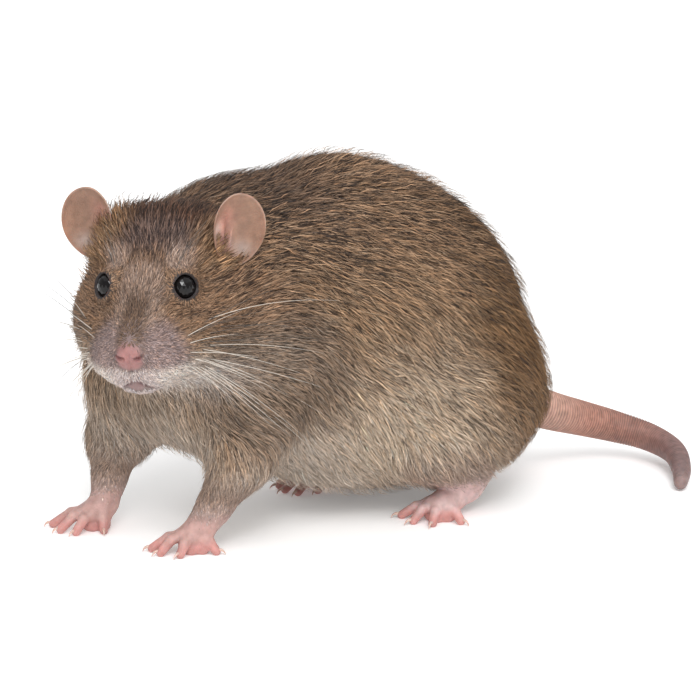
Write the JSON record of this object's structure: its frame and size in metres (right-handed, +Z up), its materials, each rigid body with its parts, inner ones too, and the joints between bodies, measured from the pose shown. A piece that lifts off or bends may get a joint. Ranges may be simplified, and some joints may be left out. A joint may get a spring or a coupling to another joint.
{
  "type": "brown rat",
  "caption": "Still, life-size brown rat standing hunched on its feet, its head turned to its left, with upright cupped ears, fused claws and a short tail with a blunt end.",
  "frame": {"origin": "middle of the bounding box's base, on the floor", "axes": "+X to the rat's left, +Y to its rear, +Z up"},
  "size_m": [0.0852, 0.2012, 0.105],
  "materials": {
    "fur": "agouti fur, dark brown over ochre, paler below",
    "foot_skin": "bare pink skin with fine hairs",
    "ear_skin": "thin pink-tan skin with down",
    "eye": "wet, glossy black",
    "tail_skin": "bare pink-brown skin in rings of scales",
    "claw": "pale translucent horn",
    "whisker": "stiff single hairs, dark and pale"
  },
  "bodies": {
    "root": {"head": "fur", "neck": "fur", "torso": "fur", "fore_leg_left": "fur", "fore_leg_right": "fur", "hind_leg_left": "fur", "hind_leg_right": "fur", "fore_paw_left": "foot_skin", "fore_paw_right": "foot_skin", "hind_foot_left": "foot_skin", "hind_foot_right": "foot_skin", "ear_left": "ear_skin", "ear_right": "ear_skin", "eye_left": "eye", "eye_right": "eye", "tail_base": "tail_skin", "tail_middle": "tail_skin", "tail_tip": "tail_skin"}
  },
  "joints": []
}
